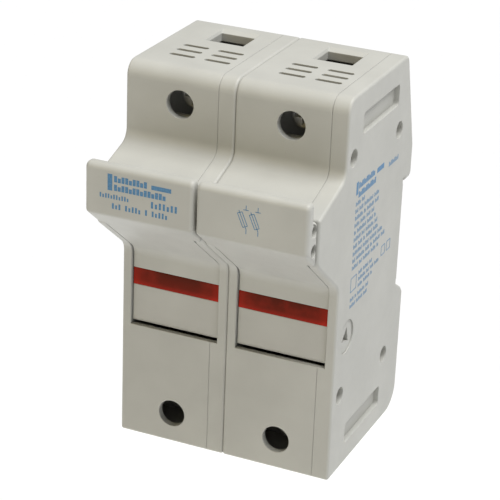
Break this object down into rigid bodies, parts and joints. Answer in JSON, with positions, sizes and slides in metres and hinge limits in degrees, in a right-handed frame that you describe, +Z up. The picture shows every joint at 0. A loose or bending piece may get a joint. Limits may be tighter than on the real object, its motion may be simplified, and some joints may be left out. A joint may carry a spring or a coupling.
{
  "type": "cartridge fuse holder",
  "caption": "Touch-safe DIN-rail fuse holder: poles side by side, each with a tilting hooded carrier, a cartridge fuse inside, a red indicator strip and box-clamp terminals.",
  "frame": {"origin": "centre of the rail seat in the back, half way across the two poles", "axes": "+Z up, +Y into the wall (out of the back), +X across the poles to the viewer's right"},
  "size_m": [0.07, 0.0824, 0.121],
  "materials": {
    "housing_plastic": "moulded, light warm grey",
    "carrier_plastic": "moulded, light warm grey",
    "label_plastic": "smooth, near white",
    "red_lens": "clear red",
    "plated_copper": "tin-plated copper",
    "spring_steel": "bright spring steel",
    "zinc_steel": "zinc-plated, stamped",
    "screw_steel": "zinc-plated, machined",
    "rivet_steel": "nickel-plated",
    "clip_plastic": "moulded, light grey",
    "circuit_board": "resist over laminate",
    "lamp_glass": "clear glass",
    "resistor_body": "lacquered",
    "fuse_tube": "woven-glass tube",
    "fuse_cap": "nickel-plated",
    "fuse_sand": "packed sand"
  },
  "bodies": {
    "housing": {"left_housing_shell": "housing_plastic", "left_housing_cover": "housing_plastic", "left_housing_rivets": "rivet_steel", "left_upper_contact": "plated_copper", "left_lower_contact": "plated_copper", "left_upper_clip_spring": "spring_steel", "left_lower_clip_spring": "spring_steel", "left_rail_clip_spring": "spring_steel", "right_housing_shell": "housing_plastic", "right_housing_cover": "housing_plastic", "right_housing_rivets": "rivet_steel", "right_upper_contact": "plated_copper", "right_lower_contact": "plated_copper", "right_upper_clip_spring": "spring_steel", "right_lower_clip_spring": "spring_steel", "right_rail_clip_spring": "spring_steel", "pole_link_lower": "housing_plastic", "pole_link_upper": "housing_plastic"},
    "fuse_carriers": {"left_fuse_carrier": "carrier_plastic", "left_indicator_lens": "red_lens", "left_label_plate": "label_plastic", "left_indicator_board": "circuit_board", "left_neon_lamp": "lamp_glass", "left_lamp_resistor": "resistor_body", "left_indicator_contacts": "spring_steel", "left_fuse_tube": "fuse_tube", "left_fuse_cap_top": "fuse_cap", "left_fuse_cap_bottom": "fuse_cap", "left_fuse_element": "plated_copper", "left_fuse_filler": "fuse_sand", "right_fuse_carrier": "carrier_plastic", "right_indicator_lens": "red_lens", "right_label_plate": "label_plastic", "right_indicator_board": "circuit_board", "right_neon_lamp": "lamp_glass", "right_lamp_resistor": "resistor_body", "right_indicator_contacts": "spring_steel", "right_fuse_tube": "fuse_tube", "right_fuse_cap_top": "fuse_cap", "right_fuse_cap_bottom": "fuse_cap", "right_fuse_element": "plated_copper", "right_fuse_filler": "fuse_sand", "carrier_tie_pins": "clip_plastic", "pivot_coupling": "clip_plastic"},
    "left_upper_clamp_cage_body": {"left_upper_clamp_cage": "zinc_steel"},
    "left_lower_clamp_cage_body": {"left_lower_clamp_cage": "zinc_steel"},
    "left_upper_clamp_screw_body": {"left_upper_clamp_screw": "screw_steel"},
    "left_lower_clamp_screw_body": {"left_lower_clamp_screw": "screw_steel"},
    "left_rail_clip_body": {"left_rail_clip": "clip_plastic"},
    "right_upper_clamp_cage_body": {"right_upper_clamp_cage": "zinc_steel"},
    "right_lower_clamp_cage_body": {"right_lower_clamp_cage": "zinc_steel"},
    "right_upper_clamp_screw_body": {"right_upper_clamp_screw": "screw_steel"},
    "right_lower_clamp_screw_body": {"right_lower_clamp_screw": "screw_steel"},
    "right_rail_clip_body": {"right_rail_clip": "clip_plastic"}
  },
  "joints": [
    {"name": "carrier_tilt", "type": "hinge", "parent": "housing", "child": "fuse_carriers", "pos_m": [0, -0.0416, -0.0183], "axis": [1, 0, 0], "range_deg": [0, 70]},
    {"name": "left_upper_clamp_screw_turn", "type": "hinge", "parent": "housing", "child": "left_upper_clamp_screw_body", "pos_m": [-0.0175, -0.0305, 0.0475], "axis": [0, 1, 0], "range_deg": [0, 2161]},
    {"name": "left_upper_clamp_cage_slide", "type": "slide", "parent": "housing", "child": "left_upper_clamp_cage_body", "axis": [0, -1, 0], "range_m": [0, 0.006]},
    {"name": "left_lower_clamp_screw_turn", "type": "hinge", "parent": "housing", "child": "left_lower_clamp_screw_body", "pos_m": [-0.0175, -0.0305, -0.0531], "axis": [0, 1, 0], "range_deg": [0, 2161]},
    {"name": "left_lower_clamp_cage_slide", "type": "slide", "parent": "housing", "child": "left_lower_clamp_cage_body", "axis": [0, -1, 0], "range_m": [0, 0.006]},
    {"name": "left_rail_clip_slide", "type": "slide", "parent": "housing", "child": "left_rail_clip_body", "axis": [0, 0, -1], "range_m": [0, 0.004], "stiffness_N_per_m": 1500, "springref_m": -0.003, "deforming": ["left_rail_clip_spring"]},
    {"name": "right_upper_clamp_screw_turn", "type": "hinge", "parent": "housing", "child": "right_upper_clamp_screw_body", "pos_m": [0.0175, -0.0305, 0.0475], "axis": [0, 1, 0], "range_deg": [0, 2161]},
    {"name": "right_upper_clamp_cage_slide", "type": "slide", "parent": "housing", "child": "right_upper_clamp_cage_body", "axis": [0, -1, 0], "range_m": [0, 0.006]},
    {"name": "right_lower_clamp_screw_turn", "type": "hinge", "parent": "housing", "child": "right_lower_clamp_screw_body", "pos_m": [0.0175, -0.0305, -0.0531], "axis": [0, 1, 0], "range_deg": [0, 2161]},
    {"name": "right_lower_clamp_cage_slide", "type": "slide", "parent": "housing", "child": "right_lower_clamp_cage_body", "axis": [0, -1, 0], "range_m": [0, 0.006]},
    {"name": "right_rail_clip_slide", "type": "slide", "parent": "housing", "child": "right_rail_clip_body", "axis": [0, 0, -1], "range_m": [0, 0.004], "stiffness_N_per_m": 1500, "springref_m": -0.003, "deforming": ["right_rail_clip_spring"]}
  ],
  "couplings": [
    {"joint": "left_upper_clamp_screw_turn", "follows": "left_upper_clamp_cage_slide", "rad_per_m": 6283.2},
    {"joint": "left_lower_clamp_screw_turn", "follows": "left_lower_clamp_cage_slide", "rad_per_m": 6283.2},
    {"joint": "right_upper_clamp_screw_turn", "follows": "right_upper_clamp_cage_slide", "rad_per_m": 6283.2},
    {"joint": "right_lower_clamp_screw_turn", "follows": "right_lower_clamp_cage_slide", "rad_per_m": 6283.2}
  ]
}
